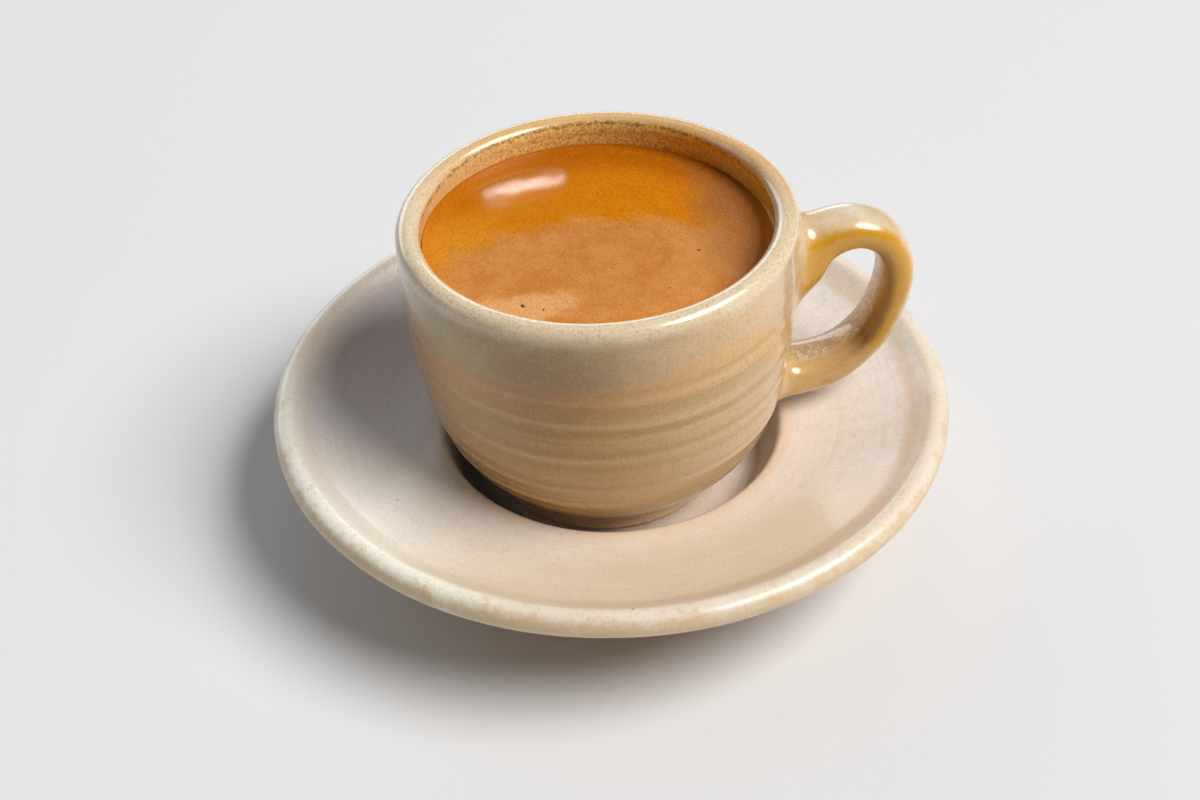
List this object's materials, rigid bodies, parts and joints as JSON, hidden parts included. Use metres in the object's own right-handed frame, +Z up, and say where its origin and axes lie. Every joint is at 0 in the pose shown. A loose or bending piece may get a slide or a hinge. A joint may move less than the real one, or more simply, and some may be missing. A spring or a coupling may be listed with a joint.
{
  "type": "espresso",
  "caption": "Espresso with its crema in a handled stoneware cup, standing in the well of its round saucer.",
  "frame": {"origin": "on the surface that the saucer stands on, under the middle of the saucer", "axes": "+Z up through the saucer, +X from the cup to its handle, +Y across the handle"},
  "size_m": [0.118, 0.118, 0.0579],
  "materials": {
    "cup_glaze": "speckled cream and ochre glaze over stoneware, satin gloss",
    "saucer_glaze": "pale pinkish beige glaze over stoneware, satin",
    "espresso": "glossy tan and amber crema"
  },
  "bodies": {
    "root": {"cup": "cup_glaze", "saucer": "saucer_glaze", "espresso": "espresso"}
  },
  "joints": []
}
